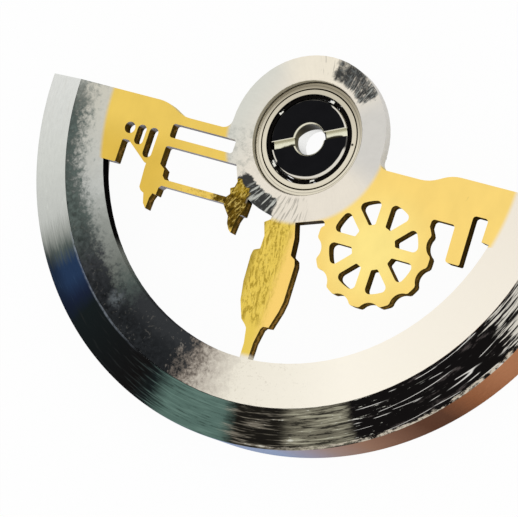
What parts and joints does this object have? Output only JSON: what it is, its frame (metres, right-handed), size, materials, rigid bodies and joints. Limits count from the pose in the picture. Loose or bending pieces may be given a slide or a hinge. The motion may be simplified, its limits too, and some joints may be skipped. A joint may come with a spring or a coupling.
{
  "type": "automatic watch rotor",
  "caption": "Half-disc automatic winding rotor: a pierced gilt plate with a heavy bevelled rim on a central ball bearing with a slotted cone and a toothed ring below.",
  "frame": {"origin": "on the turning axis, in the plane of the lower face that the inner core rests on", "axes": "+Z along the turning axis, out of the movement towards the slotted cone; +X along the straight cut edge; the weight lies towards -Y"},
  "size_m": [0.0254, 0.0162, 0.0025],
  "materials": {
    "gilt_plate": "gilt, with a silver-plated hub and band",
    "heavy_metal": "plated and polished",
    "race_steel": "satin",
    "gear_steel": "satin",
    "core_steel": "satin",
    "black_steel": "blackened and polished",
    "cage_brass": "satin",
    "ball_steel": "polished"
  },
  "bodies": {
    "core": {"inner_core": "core_steel", "slotted_cone": "black_steel"},
    "rotor": {"rotor_plate": "gilt_plate", "heavy_segment": "heavy_metal", "outer_race": "race_steel", "drive_gear": "gear_steel"},
    "cage": {"ball_cage": "cage_brass"},
    "ball_one": {"ball_1": "ball_steel"},
    "ball_two": {"ball_2": "ball_steel"},
    "ball_three": {"ball_3": "ball_steel"},
    "ball_four": {"ball_4": "ball_steel"},
    "ball_five": {"ball_5": "ball_steel"}
  },
  "joints": [
    {"name": "rotor_spin", "type": "hinge", "parent": "core", "child": "rotor", "pos_m": [0, 0, 0], "axis": [0, 0, 1], "continuous": true},
    {"name": "cage_spin", "type": "hinge", "parent": "core", "child": "cage", "pos_m": [0, 0, 0], "axis": [0, 0, 1], "continuous": true},
    {"name": "ball_one_spin", "type": "hinge", "parent": "cage", "child": "ball_one", "pos_m": [0.00178, 0.00022, 0.00078], "axis": [0, 0, 1], "continuous": true},
    {"name": "ball_two_spin", "type": "hinge", "parent": "cage", "child": "ball_two", "pos_m": [0.00034, 0.00176, 0.00078], "axis": [0, 0, 1], "continuous": true},
    {"name": "ball_three_spin", "type": "hinge", "parent": "cage", "child": "ball_three", "pos_m": [-0.00157, 0.00087, 0.00078], "axis": [0, 0, 1], "continuous": true},
    {"name": "ball_four_spin", "type": "hinge", "parent": "cage", "child": "ball_four", "pos_m": [-0.00131, -0.00122, 0.00078], "axis": [0, 0, 1], "continuous": true},
    {"name": "ball_five_spin", "type": "hinge", "parent": "cage", "child": "ball_five", "pos_m": [0.00076, -0.00162, 0.00078], "axis": [0, 0, 1], "continuous": true}
  ],
  "couplings": [
    {"joint": "cage_spin", "follows": "rotor_spin", "ratio": 0.55917},
    {"joint": "ball_one_spin", "follows": "rotor_spin", "ratio": 4.1658},
    {"joint": "ball_two_spin", "follows": "rotor_spin", "ratio": 4.1658},
    {"joint": "ball_three_spin", "follows": "rotor_spin", "ratio": 4.1658},
    {"joint": "ball_four_spin", "follows": "rotor_spin", "ratio": 4.1658},
    {"joint": "ball_five_spin", "follows": "rotor_spin", "ratio": 4.1658}
  ]
}
